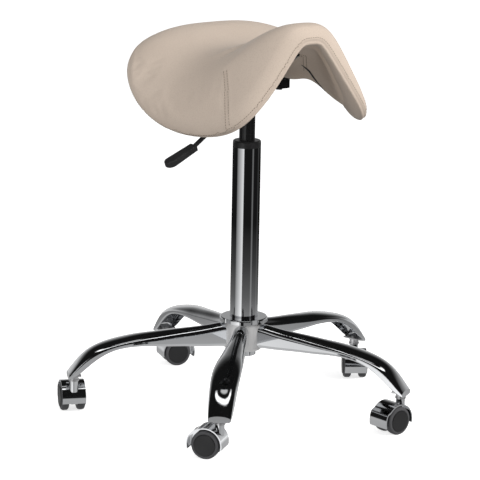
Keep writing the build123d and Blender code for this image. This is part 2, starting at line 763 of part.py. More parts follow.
# Bent plate under the ridge, from the tray's front screws towards the pommel
BRACKET_ARCS = (0, 11.0, 22.0, 34.0)
BRACKET_STATIONS = (-0.56, -0.48, -0.40, -0.32, -0.25)
with BuildPart() as pommel_bracket:
    loft([upright_section(t, BRACKET_ARCS, bracket_faces) for t in BRACKET_STATIONS])
finish(pommel_bracket.part, "pommel_bracket")
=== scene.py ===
"""A saddle stool: upholstered saddle seat, gas lift, chrome star base and hooded castors.

Frame: metres, +Z up, origin on the floor under the column, the pommel towards -Y.
"""

import json
import math

import bpy
import numpy as np
from mathutils import Matrix, Vector
from mathutils.kdtree import KDTree


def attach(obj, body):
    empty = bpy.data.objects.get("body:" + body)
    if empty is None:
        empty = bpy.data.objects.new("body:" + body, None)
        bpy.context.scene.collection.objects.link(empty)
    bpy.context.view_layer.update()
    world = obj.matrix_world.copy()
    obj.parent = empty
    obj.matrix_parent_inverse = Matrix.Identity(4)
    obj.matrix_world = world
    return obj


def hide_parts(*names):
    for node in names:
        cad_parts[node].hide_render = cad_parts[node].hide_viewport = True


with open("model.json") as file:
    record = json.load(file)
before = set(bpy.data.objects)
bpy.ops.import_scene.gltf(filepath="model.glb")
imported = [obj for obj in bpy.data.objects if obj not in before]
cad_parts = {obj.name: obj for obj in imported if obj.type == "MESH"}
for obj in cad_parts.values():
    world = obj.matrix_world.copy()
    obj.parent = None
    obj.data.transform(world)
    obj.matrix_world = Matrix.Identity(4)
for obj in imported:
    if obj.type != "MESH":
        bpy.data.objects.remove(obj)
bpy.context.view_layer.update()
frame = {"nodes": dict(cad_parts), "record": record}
NODES = frame["nodes"]
scene = bpy.context.scene
collection = scene.collection

# ---- camera ---------------------------------------------------------------------------------------

CAMERA_AZIMUTH = math.radians(-35.4)
CAMERA_ELEVATION = math.radians(13.25)
CAMERA_DISTANCE = 4.7357
CAMERA_ROLL = math.radians(1.05)
LOOK_HEIGHT = 0.3072
AIM_OFFSET = 0.00912


def make_camera():
    data = bpy.data.cameras.new("camera")
    data.lens = 199.87
    data.sensor_width = 36.0
    camera = bpy.data.objects.new("camera", data)
    collection.objects.link(camera)
    a, e = CAMERA_AZIMUTH, CAMERA_ELEVATION
    back = Vector((math.sin(a) * math.cos(e), -math.cos(a) * math.cos(e), math.sin(e)))
    right = Vector((math.cos(a), math.sin(a), 0))
    look = Vector((0, 0, LOOK_HEIGHT))
    camera.location = look + back * CAMERA_DISTANCE
    aim = look - right * AIM_OFFSET
    turn = (aim - camera.location).to_track_quat("-Z", "Y").to_matrix()
    camera.rotation_euler = (turn @ Matrix.Rotation(CAMERA_ROLL, 3, "Z")).to_euler()
    data.clip_end = 60.0
    scene.camera = camera


make_camera()
scene.view_settings.view_transform = "Standard"

# ---- studio ---------------------------------------------------------------------------------------

STRIP_BRIGHTNESS = 1.8
DARKEST_WALL = 0.008
KEY_POWER = 98
FILL_POWER = 31
FLOOR_EMISSION = 0.66
GLOW_REACH = 1.5


def polar(azimuth, radius, z):
    a = math.radians(azimuth)
    return Vector((radius * math.cos(a), radius * math.sin(a), z))


def area_light(name, place, target, size, power, colour=(1, 1, 1)):
    data = bpy.data.lights.new(name, "AREA")
    data.shape = "RECTANGLE"
    data.size, data.size_y = size
    data.energy = power
    data.color = colour
    lamp = bpy.data.objects.new(name, data)
    collection.objects.link(lamp)
    lamp.location = place
    lamp.rotation_euler = (Vector(target) - Vector(place)).to_track_quat("-Z", "Y").to_euler()
    lamp.visible_camera = False
    return lamp


def ramp(nodes, stops, mode="LINEAR"):
    node = nodes.new("ShaderNodeValToRGB")
    node.color_ramp.interpolation = mode
    elements = node.color_ramp.elements
    while len(elements) > 1:
        elements.remove(elements[-1])
    for k, (place, value) in enumerate(stops):
        element = elements[0] if k == 0 else elements.new(place)
        element.position = place
        colour = value if isinstance(value, tuple) else (value, value, value)
        element.color = (*colour, 1)
    return node


def math_node(nodes, links, operation, *values):
    node = nodes.new("ShaderNodeMath")
    node.operation = operation
    for socket, value in zip(node.inputs, values):
        if isinstance(value, (int, float)):
            socket.default_value = value
        else:
            links.new(value, socket)
    return node.outputs[0]


def make_world():
    """White to the camera, soft light on surfaces, and dark walls with bright windows in reflections."""
    world = bpy.data.worlds.new("studio")
    scene.world = world
    world.use_nodes = True
    nodes, links = world.node_tree.nodes, world.node_tree.links
    nodes.clear()
    place = nodes.new("ShaderNodeTexCoord")
    split = nodes.new("ShaderNodeSeparateXYZ")
    links.new(place.outputs["Generated"], split.inputs[0])
    turn = math_node(nodes, links, "ARCTAN2", split.outputs[1], split.outputs[0])
    turns = math_node(nodes, links, "DIVIDE", turn, 2 * math.pi)
    azimuth = math_node(nodes, links, "WRAP", turns, 1.0, 0.0)
    height = math_node(nodes, links, "MULTIPLY_ADD", split.outputs[2], 0.5, 0.5)
    # A window to the camera's left that brightens towards it, and two narrow ones to its right
    windows = ramp(nodes, (
        (0.00, 0.010), (0.430, 0.010), (0.440, 0.20), (0.52, 0.55), (0.590, 0.95), (0.602, 0.010),
        (0.78, 0.010), (0.795, 0.17), (0.815, 0.17), (0.83, 0.010),
        (0.95, 0.010), (0.965, 0.10), (0.985, 0.010),
    ))
    links.new(azimuth, windows.inputs[0])
    window_band = ramp(nodes, ((0.20, 0.0), (0.30, 1.0), (0.62, 1.0), (0.74, 0.0)))
    links.new(height, window_band.inputs[0])
    # Narrow strip lights above, on the camera's side of the studio only
    strips = ramp(nodes, (
        (0.0, 0.0), (0.925, 0.0), (0.935, 1.0), (0.955, 1.0), (0.965, 0.0),
        (0.986, 0.0), (0.992, 0.35), (1.0, 0.35),
    ))
    links.new(height, strips.inputs[0])
    near_side = ramp(nodes, ((0.36, 0.0), (0.44, 1.0), (0.86, 1.0), (0.94, 0.0)))
    links.new(azimuth, near_side.inputs[0])
    # A pale backdrop behind the stool that darkens upwards
    behind = ramp(nodes, ((0.0, 1.0), (0.30, 1.0), (0.36, 0.0), (0.93, 0.0), (0.97, 1.0)))
    links.new(azimuth, behind.inputs[0])
    backdrop_band = ramp(nodes, (
        (0.40, 0.0), (0.48, 0.75), (0.60, 0.50), (0.66, 0.22), (0.74, 0.05), (0.80, 0.0),
    ))
    links.new(height, backdrop_band.inputs[0])
    wall = math_node(nodes, links, "MULTIPLY", windows.outputs[0], window_band.outputs[0])
    strip = math_node(nodes, links, "MULTIPLY", strips.outputs[0], near_side.outputs[0])
    backdrop = math_node(nodes, links, "MULTIPLY", behind.outputs[0], backdrop_band.outputs[0])
    bright_strip = math_node(nodes, links, "MULTIPLY", strip, STRIP_BRIGHTNESS)
    studio = math_node(nodes, links, "MAXIMUM", wall, bright_strip)
    studio = math_node(nodes, links, "MAXIMUM", studio, backdrop)
    mirror = nodes.new("ShaderNodeBackground")
    links.new(math_node(nodes, links, "MAXIMUM", studio, DARKEST_WALL), mirror.inputs[0])
    ambient = ramp(nodes, ((0.0, 0.30), (0.40, 0.33), (0.56, 0.48), (1.0, 0.40)))
    links.new(height, ambient.inputs[0])
    soft = nodes.new("ShaderNodeBackground")
    links.new(ambient.outputs[0], soft.inputs[0])
    white = nodes.new("ShaderNodeBackground")
    white.inputs[0].default_value = (1, 1, 1, 1)
    path = nodes.new("ShaderNodeLightPath")
    first = nodes.new("ShaderNodeMixShader")
    second = nodes.new("ShaderNodeMixShader")
    output = nodes.new("ShaderNodeOutputWorld")
    links.new(path.outputs["Is Glossy Ray"], first.inputs[0])
    links.new(soft.outputs[0], first.inputs[1])
    links.new(mirror.outputs[0], first.inputs[2])
    links.new(path.outputs["Is Camera Ray"], second.inputs[0])
    links.new(first.outputs[0], second.inputs[1])
    links.new(white.outputs[0], second.inputs[2])
    links.new(second.outputs[0], output.inputs[0])


make_world()
SEAT_TARGET = (0, 0, 0.6)
key = area_light("key", polar(304, 3.0, 2.1), SEAT_TARGET, (1.5, 1.5), KEY_POWER, (1.0, 0.985, 0.97))
fill = area_light("fill", polar(196, 3.2, 1.5), SEAT_TARGET, (1.8, 1.8), FILL_POWER)
for lamp in (key, fill):
    lamp.visible_glossy = False


def mesh_object(name, vertices, faces, smooth=True):
    mesh = bpy.data.meshes.new(name)
    mesh.from_pydata([tuple(v) for v in vertices], [], [tuple(f) for f in faces])
    mesh.update()
    if smooth:
        mesh.polygons.foreach_set("use_smooth", [True] * len(mesh.polygons))
    made = bpy.data.objects.new(name, mesh)
    collection.objects.link(made)
    return made


def disc(name, rings, z=0.0, count=96):
    """A flat disc through the given radii."""
    vertices = [Vector((0, 0, z))]
    for radius in rings:
        vertices += [polar(360 * k / count, radius, z) for k in range(count)]
    faces = [(0, 1 + k, 1 + (k + 1) % count) for k in range(count)]
    for ring in range(len(rings) - 1):
        start = 1 + ring * count
        for k in range(count):
            n = (k + 1) % count
            faces.append((start + k, start + count + k, start + count + n, start + n))
    made = mesh_object(name, vertices, faces)
    return made


# The floor the camera sees, and the glow of the floor near the stool as the chrome sees it
floor = disc("floor", (1.5, 6.0, 30.0))
floor.visible_glossy = False
floor.visible_diffuse = False
floor_glow = disc("floor_glow", (0.5, 1.0, 1.6), -0.0004)
floor_glow.visible_camera = False
floor_glow.visible_diffuse = False
floor_glow.visible_shadow = False

# ---- materials ------------------------------------------------------------------------------------


def new_material(name, colour, roughness, metallic=0.0):
    material = bpy.data.materials.new(name)
    material.use_nodes = True
    nodes, links = material.node_tree.nodes, material.node_tree.links
    shader = nodes["Principled BSDF"]
    shader.inputs["Base Color"].default_value = (*colour, 1)
    shader.inputs["Roughness"].default_value = roughness
    shader.inputs["Metallic"].default_value = metallic
    return material, nodes, links, shader


def object_noise(nodes, links, scale, detail=3.0, stretch=None):
    """Noise fixed to the piece, in metres, stretched along an axis if asked."""
    place = nodes.new("ShaderNodeTexCoord")
    noise = nodes.new("ShaderNodeTexNoise")
    noise.inputs["Scale"].default_value = scale
    noise.inputs["Detail"].default_value = detail
    source = place.outputs["Object"]
    if stretch:
        mapping = nodes.new("ShaderNodeMapping")
        mapping.inputs["Scale"].default_value = stretch
        links.new(source, mapping.inputs[0])
        source = mapping.outputs[0]
    links.new(source, noise.inputs["Vector"])
    return noise.outputs["Fac"]


def map_range(nodes, links, source, low, high, start=0.0, end=1.0):
    node = nodes.new("ShaderNodeMapRange")
    node.inputs["From Min"].default_value = start
    node.inputs["From Max"].default_value = end
    node.inputs["To Min"].default_value = low
    node.inputs["To Max"].default_value = high
    links.new(source, node.inputs["Value"])
    return node.outputs["Result"]


def bump(nodes, links, shader, height, strength, distance):
    node = nodes.new("ShaderNodeBump")
    node.inputs["Strength"].default_value = strength
    node.inputs["Distance"].default_value = distance
    links.new(height, node.inputs["Height"])
    links.new(node.outputs[0], shader.inputs["Normal"])
    return node


def metal(name, colour, low, high, scale=30.0, stretch=None, ripple=0.0, metallic=1.0):
    """Metal whose roughness varies a little, as handling and polishing leave it."""
    material, nodes, links, shader = new_material(name, colour, low, metallic)
    haze = object_noise(nodes, links, scale, 4.0, stretch)
    links.new(map_range(nodes, links, haze, low, high, 0.3, 0.7), shader.inputs["Roughness"])
    if ripple:
        bump(nodes, links, shader, object_noise(nodes, links, 14.0, 1.0), 0.2, ripple)
    return material


def painted(name, colour, low, high, grain, grain_depth, coat=0.0):
    """Paint or moulded plastic: slight texture, and roughness and colour that vary a little."""
    material, nodes, links, shader = new_material(name, colour, low)
    haze = object_noise(nodes, links, 45.0, 4.0)
    links.new(map_range(nodes, links, haze, low, high, 0.3, 0.7), shader.inputs["Roughness"])
    tint = ramp(nodes, ((0.3, tuple(0.85 * c for c in colour)), (0.7, tuple(1.2 * c for c in colour))))
    links.new(haze, tint.inputs[0])
    links.new(tint.outputs[0], shader.inputs["Base Color"])
    bump(nodes, links, shader, object_noise(nodes, links, grain, 2.0), 0.35, grain_depth)
    shader.inputs["Coat Weight"].default_value = coat
    return material


def leather(name, light, dark, grain=620.0, depth=0.00022):
    """Artificial leather: pebbled grain with finer creases, soft sheen, and slow colour variation."""
    material, nodes, links, shader = new_material(name, light, 0.5)
    place = nodes.new("ShaderNodeTexCoord")
    warp = nodes.new("ShaderNodeTexNoise")
    warp.inputs["Scale"].default_value = 160.0
    links.new(place.outputs["Object"], warp.inputs["Vector"])
    shift = nodes.new("ShaderNodeVectorMath")
    shift.operation = "MULTIPLY_ADD"
    shift.inputs[1].default_value = (0.0016, 0.0016, 0.0016)
    links.new(warp.outputs["Color"], shift.inputs[0])
    links.new(place.outputs["Object"], shift.inputs[2])
    pebble = nodes.new("ShaderNodeTexVoronoi")
    pebble.feature = "F1"
    pebble.inputs["Scale"].default_value = grain
    links.new(shift.outputs[0], pebble.inputs["Vector"])
    fine = nodes.new("ShaderNodeTexNoise")
    fine.inputs["Scale"].default_value = grain * 2.2
    fine.inputs["Detail"].default_value = 2.0
    links.new(shift.outputs[0], fine.inputs["Vector"])
    hill = math_node(nodes, links, "SUBTRACT", 1.0, pebble.outputs["Distance"])
    crease = math_node(nodes, links, "MULTIPLY", fine.outputs["Fac"], 0.4)
    height = math_node(nodes, links, "ADD", hill, crease)
    bump(nodes, links, shader, height, 0.35, depth)
    slow = object_noise(nodes, links, 9.0, 3.0)
    valley = map_range(nodes, links, pebble.outputs["Distance"], 0.0, 0.35, 0.35, 0.9)
    tone = math_node(nodes, links, "ADD", math_node(nodes, links, "MULTIPLY", slow, 0.6), valley)
    tint = ramp(nodes, ((0.15, light), (0.75, dark)))
    links.new(tone, tint.inputs[0])
    links.new(tint.outputs[0], shader.inputs["Base Color"])
    links.new(map_range(nodes, links, slow, 0.44, 0.56, 0.3, 0.7), shader.inputs["Roughness"])
    shader.inputs["Specular IOR Level"].default_value = 0.42
    shader.inputs["Sheen Weight"].default_value = 0.06
    shader.inputs["Sheen Roughness"].default_value = 0.5
    return material


def thread(name, colour):
    """Sewing thread with the twist of its strands."""
    material, nodes, links, shader = new_material(name, colour, 0.6)
    place = nodes.new("ShaderNodeTexCoord")
    twist = nodes.new("ShaderNodeTexWave")
    twist.bands_direction = "DIAGONAL"
    twist.inputs["Scale"].default_value = 900.0
    links.new(place.outputs["Object"], twist.inputs["Vector"])
    bump(nodes, links, shader, twist.outputs["Fac"], 0.4, 0.0001)
    tint = ramp(nodes, ((0.0, tuple(0.8 * c for c in colour)), (1.0, colour)))
    links.new(twist.outputs["Fac"], tint.inputs[0])
    links.new(tint.outputs[0], shader.inputs["Base Color"])
    return material


HIDE_LIGHT = (0.680, 0.572, 0.480)
HIDE_DARK = (0.590, 0.488, 0.404)
UNDER_LIGHT = (0.760, 0.625, 0.510)
UNDER_DARK = (0.660, 0.535, 0.430)

MATERIALS = {
    "chrome": metal("chrome", (0.74, 0.75, 0.765), 0.035, 0.07, 25.0, None, 0.00015),
    "hood_chrome": metal("hood_chrome", (0.72, 0.73, 0.745), 0.05, 0.11, 60.0, None, 0.0001),
    "bright_steel": metal("bright_steel", (0.56, 0.56, 0.57), 0.22, 0.38, 120.0, (1, 1, 8)),
    "black_steel": painted("black_steel", (0.017, 0.017, 0.018), 0.20, 0.34, 700.0, 0.00006, 0.3),
    "black_plastic": painted("black_plastic", (0.025, 0.025, 0.026), 0.28, 0.42, 900.0, 0.00008),
    "seal_rubber": painted("seal_rubber", (0.015, 0.015, 0.015), 0.6, 0.8, 800.0, 0.0001),
    "valve_brass": metal("valve_brass", (0.70, 0.55, 0.28), 0.2, 0.35, 200.0),
    "shell_plastic": painted("shell_plastic", (0.03, 0.03, 0.03), 0.5, 0.65, 600.0, 0.0001),
    "upholstery": leather("upholstery", HIDE_LIGHT, HIDE_DARK),
    "underside_cover": leather("underside_cover", UNDER_LIGHT, UNDER_DARK),
    "wheel_plastic": painted("wheel_plastic", (0.017, 0.017, 0.018), 0.42, 0.56, 700.0, 0.0001),
    "tread": painted("tread", (0.085, 0.085, 0.09), 0.5, 0.68, 900.0, 0.00012),
}
SATIN_CHROME = metal("satin_chrome", (0.84, 0.84, 0.84), 0.30, 0.42, 90.0, metallic=0.55)
THREAD = thread("thread", (0.33, 0.265, 0.205))
# Near-black finish for the underside seam strip: painted shade standing for the dark slit along that seam
SEAM_SHADE_FINISH = painted("painted_seam_shade", (0.012, 0.012, 0.013), 0.6, 0.8, 1500.0, 0.0002)


def floor_material():
    """Matt white that glows a little, like a lit table."""
    material, nodes, links, shader = new_material("floor", (0.9, 0.9, 0.9), 0.8)
    tone = ramp(nodes, ((0.0, 0.93), (1.0, 0.96)))
    links.new(object_noise(nodes, links, 3.0), tone.inputs[0])
    links.new(tone.outputs[0], shader.inputs["Base Color"])
    shader.inputs["Specular IOR Level"].default_value = 0.1
    shader.inputs["Emission Color"].default_value = (1, 1, 1, 1)
    shader.inputs["Emission Strength"].default_value = FLOOR_EMISSION
    return material


def glow_material():
    """Light that fades with distance from the column and lets what is behind show through."""
    material = bpy.data.materials.new("floor_glow")
    material.use_nodes = True
    nodes, links = material.node_tree.nodes, material.node_tree.links
    nodes.clear()
    place = nodes.new("ShaderNodeTexCoord")
    length = nodes.new("ShaderNodeVectorMath")
    length.operation = "LENGTH"
    links.new(place.outputs["Object"], length.inputs[0])
    fade = ramp(nodes, (
        (0.0, 0.62), (0.12, 0.50), (0.30, 0.42), (0.42, 0.27), (0.55, 0.12), (0.75, 0.04), (1.0, 0.0),
    ))
    links.new(math_node(nodes, links, "DIVIDE", length.outputs["Value"], GLOW_REACH), fade.inputs[0])
    glow = nodes.new("ShaderNodeEmission")
    links.new(fade.outputs[0], glow.inputs[0])
    clear = nodes.new("ShaderNodeBsdfTransparent")
    both = nodes.new("ShaderNodeAddShader")
    links.new(glow.outputs[0], both.inputs[0])
    links.new(clear.outputs[0], both.inputs[1])
    output = nodes.new("ShaderNodeOutputMaterial")
    links.new(both.outputs[0], output.inputs[0])
    return material


floor.data.materials.append(floor_material())
floor_glow.data.materials.append(glow_material())

for row in frame["record"]["subparts"]:
    node = NODES[row["node"]]
    finish = SATIN_CHROME if row["node"] == "base_hub" else MATERIALS[row["material_slot"]]
    node.data.materials.clear()
    node.data.materials.append(finish)

# ---- saddle surface -------------------------------------------------------------------------------
# Station t runs from -1 (pommel) to 1 (back); arc is the distance from the ridge along the skin.

MIDDLE_Y = -0.0173
HALF_LENGTH = 0.1702
RIDGE_Z = (0.7075, 0.6966, 0.6593, 0.6748, 0.6638)
WING_SLOPE = (54.2, 60.7, 48.7, 40.0)
SLOPE_REACH = (0.0324, 0.1285, 0.188, 0.1275)
ARC_HALF_WIDTH = (0.2992, 0.2675, 0.2444, 0.1831)
CORNER_POWER = 3.6
RIM_RUN = 0.185


def along(t, values):
    """Smooth value at station t through evenly spaced values from front to back."""
    knots = np.linspace(-1, 1, len(values))
    total = 0.0
    for i, value in enumerate(values):
        weight = 1.0
        for j, knot in enumerate(knots):
            if j != i:
                weight = weight * (t - knot) / (knots[i] - knot)
        total = total + value * weight
    return total


def skin_point(t, arc, depth):
    """Points at a depth under the top skin, square to it in the section at station t."""
    t, arc, depth = np.broadcast_arrays(*(np.asarray(value, float) for value in (t, arc, depth)))
    steps = 24
    side, reach = np.sign(arc), along(t, SLOPE_REACH)
    arc = np.abs(arc)
    limit = np.radians(along(t, WING_SLOPE))
    x, z = np.zeros_like(arc), along(t, RIDGE_Z)
    for k in range(steps):
        slope = limit * (1 - np.exp(-((arc * (k + 0.5) / steps / reach) ** 2)))
        x = x + np.cos(slope) * arc / steps
        z = z - np.sin(slope) * arc / steps
    slope = limit * (1 - np.exp(-((arc / reach) ** 2)))
    x = x - depth * np.sin(slope)
    z = z - depth * np.cos(slope)
    return np.stack([side * x, MIDDLE_Y + HALF_LENGTH * t, z], -1)


def cushion_depth(share):
    return 0.036 - 0.001 * share**4


def outline(count, share=1.0):
    """(t, arc) round an outline, evenly spaced along the skin, starting at the back."""
    angle = np.linspace(0, 2 * np.pi, 4001)
    t = np.sign(np.cos(angle)) * np.abs(np.cos(angle)) ** (2 / CORNER_POWER)
    a = np.sign(np.sin(angle)) * np.abs(np.sin(angle)) ** (2 / CORNER_POWER)
    arc = a * along(t * share, ARC_HALF_WIDTH) * share
    points = skin_point(t * share, arc, 0.0)
    run = np.concatenate([[0], np.cumsum(np.linalg.norm(np.diff(points, axis=0), axis=1))])
    where = np.interp(np.linspace(0, run[-1], count, endpoint=False), run, angle)
    t = np.sign(np.cos(where)) * np.abs(np.cos(where)) ** (2 / CORNER_POWER)
    a = np.sign(np.sin(where)) * np.abs(np.sin(where)) ** (2 / CORNER_POWER)
    return t, a


def ring_mesh(rings, columns):
    """Faces of a closed mesh of rings with one point at each end."""
    faces = []
    for k in range(columns):
        n = (k + 1) % columns
        faces.append((0, 1 + n, 1 + k))
    for r in range(rings - 1):
        start = 1 + r * columns
        for k in range(columns):
            n = (k + 1) % columns
            faces.append((start + k, start + n, start + columns + n, start + columns + k))
    last = 1 + rings * columns
    start = 1 + (rings - 1) * columns
    for k in range(columns):
        faces.append((last, start + k, start + (k + 1) % columns))
    return faces


def padded_shape(rows, columns, scale=1.0, swelling=None):
    """Vertices of a closed padded layer from (share, depth) rows, first row at the top centre."""
    t, a = outline(columns, scale)
    vertices = []
    for share, depth in rows:
        s = share * scale
        station, arc = t * s, a * s * along(t * s, ARC_HALF_WIDTH)
        if swelling:
            depth = depth + swelling(station, arc)
        ring = skin_point(station, arc, depth)
        vertices.append(ring if 0 < len(vertices) < len(rows) - 1 else ring[:1])
    return np.concatenate(vertices)


def cushion_rows(top, rim, under):
    """(share, depth) from the top's centre, round the rim, to the underside's centre."""
    edge = 1 - 0.5 * cushion_depth(1.0) / RIM_RUN
    rows = [(edge * (k / top) ** 0.85, 0.0) for k in range(top)]
    for k in range(rim + 1):
        turn = math.pi * k / rim
        share = edge + (1 - edge) * math.sin(turn)
        full = cushion_depth(share)
        rows.append((share, full / 2 * (1 - math.cos(turn))))
    for k in range(1, under + 1):
        left = 1 - k / under
        rows.append((edge * left**0.85, cushion_depth(edge * left)))
    return rows


TOP_ROWS, RIM_ROWS, UNDER_ROWS, COLUMNS = 54, 26, 26, 440
ROWS = cushion_rows(TOP_ROWS, RIM_ROWS, UNDER_ROWS)
SEAM_ROW = TOP_ROWS + RIM_ROWS // 2


def vertex_normals(obj):
    normals = np.empty(len(obj.data.vertices) * 3, np.float32)
    obj.data.vertex_normals.foreach_get("vector", normals)
    return normals.reshape(-1, 3).astype(float)


def positions(obj):
    co = np.empty(len(obj.data.vertices) * 3, np.float32)
    obj.data.vertices.foreach_get("co", co)
    return co.reshape(-1, 3).astype(float)


def place_vertices(obj, co):
    obj.data.vertices.foreach_set("co", np.asarray(co, np.float32).ravel())
    obj.data.update()


# Seams: the rim seam, and a dart down the front of each wing
DART = ((-0.50, 0.138), (-0.56, 0.155), (-0.641, 0.180), (-0.731, 0.212), (-0.79, 0.232), (-0.835, 0.246))


def skin_line(route, depth, side, count=80):
    """3-D line on the skin through (t, arc) points."""
    route = np.asarray(route, float)
    knots = np.linspace(0, 1, len(route))
    where = np.linspace(0, 1, count)
    t = np.interp(where, knots, route[:, 0])
    arc = np.interp(where, knots, route[:, 1])
    return skin_point(t, side * arc, depth)


def nearest(tree_points, queries):
    """Distance from each query to a dense line, and the index of its nearest point."""
    tree = KDTree(len(tree_points))
    for k, p in enumerate(tree_points):
        tree.insert(p, k)
    tree.balance()
    found = [tree.find(q) for q in queries]
    return np.array([f[2] for f in found]), np.array([f[1] for f in found])


# The cushion starts a little small, swells under pressure, and no point moves past the limit
SHRINK = 0.0015
PRESSURE = 4.0
PUFF_LIMIT = 0.004
SWELL_VOXEL = 0.0055
SWELL_FRAMES = 20
SEAM_HOLD = 0.0045


def swell(co, faces, seam_lines):
    """How far cloth inflated from this shape moves, found on a coarser copy and carried over."""
    coarse = mesh_object("swell_guide", co, faces)
    remesh = coarse.modifiers.new("remesh", "REMESH")
    remesh.mode = "VOXEL"
    remesh.voxel_size = SWELL_VOXEL
    graph = bpy.context.evaluated_depsgraph_get()
    mesh = bpy.data.meshes.new_from_object(coarse.evaluated_get(graph))
    bpy.data.objects.remove(coarse)
    cloth = bpy.data.objects.new("swell_cloth", mesh)
    collection.objects.link(cloth)
    start = positions(cloth)
    held, _ = nearest(np.concatenate(seam_lines), start)
    group = cloth.vertex_groups.new(name="held")
    for k in np.nonzero(held < SEAM_HOLD)[0]:
        group.add([int(k)], 1.0, "REPLACE")
    modifier = cloth.modifiers.new("cloth", "CLOTH")
    settings = modifier.settings
    settings.quality = 4
    settings.mass = 0.25
    settings.tension_stiffness = 18
    settings.compression_stiffness = 18
    settings.shear_stiffness = 6
    settings.bending_stiffness = 1.5
    settings.use_pressure = True
    settings.uniform_pressure_force = PRESSURE
    settings.vertex_group_mass = "held"
    settings.effector_weights.gravity = 0
    modifier.collision_settings.use_self_collision = False
    modifier.point_cache.frame_start = 1
    modifier.point_cache.frame_end = SWELL_FRAMES
    for step in range(1, SWELL_FRAMES + 1):
        scene.frame_set(step)
    graph = bpy.context.evaluated_depsgraph_get()
    end = np.array([v.co for v in cloth.evaluated_get(graph).data.vertices], float)
    scene.frame_set(1)
    bpy.data.objects.remove(cloth)
    moved = end - start
    length = np.linalg.norm(moved, axis=1, keepdims=True)
    moved *= np.minimum(1.0, PUFF_LIMIT / np.maximum(length, 1e-9))
    tree = KDTree(len(start))
    for k, p in enumerate(start):
        tree.insert(p, k)
    tree.balance()
    carried = np.zeros_like(co)
    for k, p in enumerate(co):
        found = tree.find_n(p, 6)
        weight = np.array([1 / (f[2] + 0.002) ** 2 for f in found])
        carried[k] = (moved[[f[1] for f in found]] * weight[:, None]).sum(0) / weight.sum()
    return carried


def ring_line(co, row):
    start = 1 + (row - 1) * COLUMNS
    return co[start:start + COLUMNS]


def make_cushion():
    faces = ring_mesh(len(ROWS) - 2, COLUMNS)
    co = padded_shape(ROWS, COLUMNS)
    cushion = mesh_object("saddle_cushion", co, faces)
    normals = vertex_normals(cushion)
    if normals[0][2] <= 0:
        cushion.data.flip_normals()
        normals = vertex_normals(cushion)
    darts = [skin_line(DART, 0.0, side) for side in (-1, 1)]
    seam_lines = [ring_line(co, SEAM_ROW), *darts]
    base = co - normals * SHRINK
    base = base + swell(base, faces, seam_lines)
    place_vertices(cushion, base)
    normals = vertex_normals(cushion)
    # Rim seam: a narrow valley between two soft lips
    pitch, _ = nearest(ring_line(base, SEAM_ROW), base)
    groove = -0.0012 * np.exp(-((pitch / 0.0016) ** 2))
    groove = groove + 0.0005 * np.exp(-(((pitch - 0.0045) / 0.0022) ** 2))
    # Darts: the same, fading in at the top
    for line in darts:
        d, k = nearest(line, base)
        fade = np.clip(k / 14.0, 0, 1)
        near = np.exp(-((d / 0.0018) ** 2))
        groove = groove - fade * 0.0011 * near + fade * 0.0004 * np.exp(-(((d - 0.005) / 0.0025) ** 2))
    place_vertices(cushion, base + normals * groove[:, None])
    cushion.data.materials.append(MATERIALS["upholstery"])
    return cushion


def stitch_mesh(name, lines, pitch=0.0048, length=0.0039, radius=0.00048, lift=0.0002):
    """Rows of separate stitches: each a short thread that dips into the hide at both ends.

    lines holds (points, normals) pairs."""
    vertices, faces = [], []
    sides, rings = 6, 5
    for points, normals in lines:
        run = np.concatenate([[0], np.cumsum(np.linalg.norm(np.diff(points, axis=0), axis=1))])
        for n in range(int(run[-1] / pitch)):
            centre_run = (n + 0.5) * pitch
            for r in range(rings):
                share = r / (rings - 1)
                here = centre_run + (share - 0.5) * length
                p = np.array([np.interp(here, run, points[:, k]) for k in range(3)])
                q = np.array([np.interp(here + 0.0005, run, points[:, k]) for k in range(3)])
                up = np.array([np.interp(here, run, normals[:, k]) for k in range(3)])
                up /= np.linalg.norm(up)
                ahead = q - p
                ahead /= max(1e-9, np.linalg.norm(ahead))
                across = np.cross(ahead, up)
                across /= max(1e-9, np.linalg.norm(across))
                arch = math.sin(math.pi * share)
                middle = p + up * (lift + radius * (1.3 * arch - 0.9))
                girth = radius * (0.62 + 0.38 * arch)
                for s in range(sides):
                    angle = 2 * math.pi * s / sides
                    vertices.append(middle + girth * (math.cos(angle) * across + math.sin(angle) * up))
            start = len(vertices) - rings * sides
            for r in range(rings - 1):
                for s in range(sides):
                    t = (s + 1) % sides
                    a = start + r * sides
                    faces.append((a + s, a + t, a + sides + t, a + sides + s))
            faces.append(tuple(start + s for s in reversed(range(sides))))
            faces.append(tuple(start + (rings - 1) * sides + s for s in range(sides)))
    made = mesh_object(name, vertices, faces)
    made.data.materials.append(THREAD)
    return made


def on_surface(obj, points):
    """Nearest places on a mesh, with its normals there."""
    co, normals = [], []
    for p in points:
        _, place, normal, _ = obj.closest_point_on_mesh(Vector(p))
        co.append(place)
        normals.append(normal)
    return np.array(co), np.array(normals)


def offset_line(points, normals, amount):
    """A line moved sideways along its surface."""
    ahead = np.gradient(points, axis=0)
    across = np.cross(ahead, normals)
    across /= np.maximum(1e-9, np.linalg.norm(across, axis=1, keepdims=True))
    return points + across * amount


RIM_STITCH_OFFSET = 0.0052
DART_STITCH_OFFSET = 0.0032

cushion = make_cushion()
cushion_co = positions(cushion)


def sew_cushion():
    """Topstitching above the rim seam and either side of each dart."""
    lines = []
    rim = ring_line(cushion_co, SEAM_ROW)
    rim = np.concatenate([rim, rim[:1]])
    rim_points, rim_normals = on_surface(cushion, rim)
    above = offset_line(rim_points, rim_normals, RIM_STITCH_OFFSET)
    if above[:, 2].mean() < rim_points[:, 2].mean():
        above = offset_line(rim_points, rim_normals, -RIM_STITCH_OFFSET)
    lines.append(on_surface(cushion, above))
    for side in (-1, 1):
        seam = skin_line(DART, 0.0, side, 60)[6:]
        points, normals = on_surface(cushion, seam)
        for amount in (-DART_STITCH_OFFSET, DART_STITCH_OFFSET):
            lines.append(on_surface(cushion, offset_line(points, normals, amount)))
    return stitch_mesh("cushion_stitches", lines)


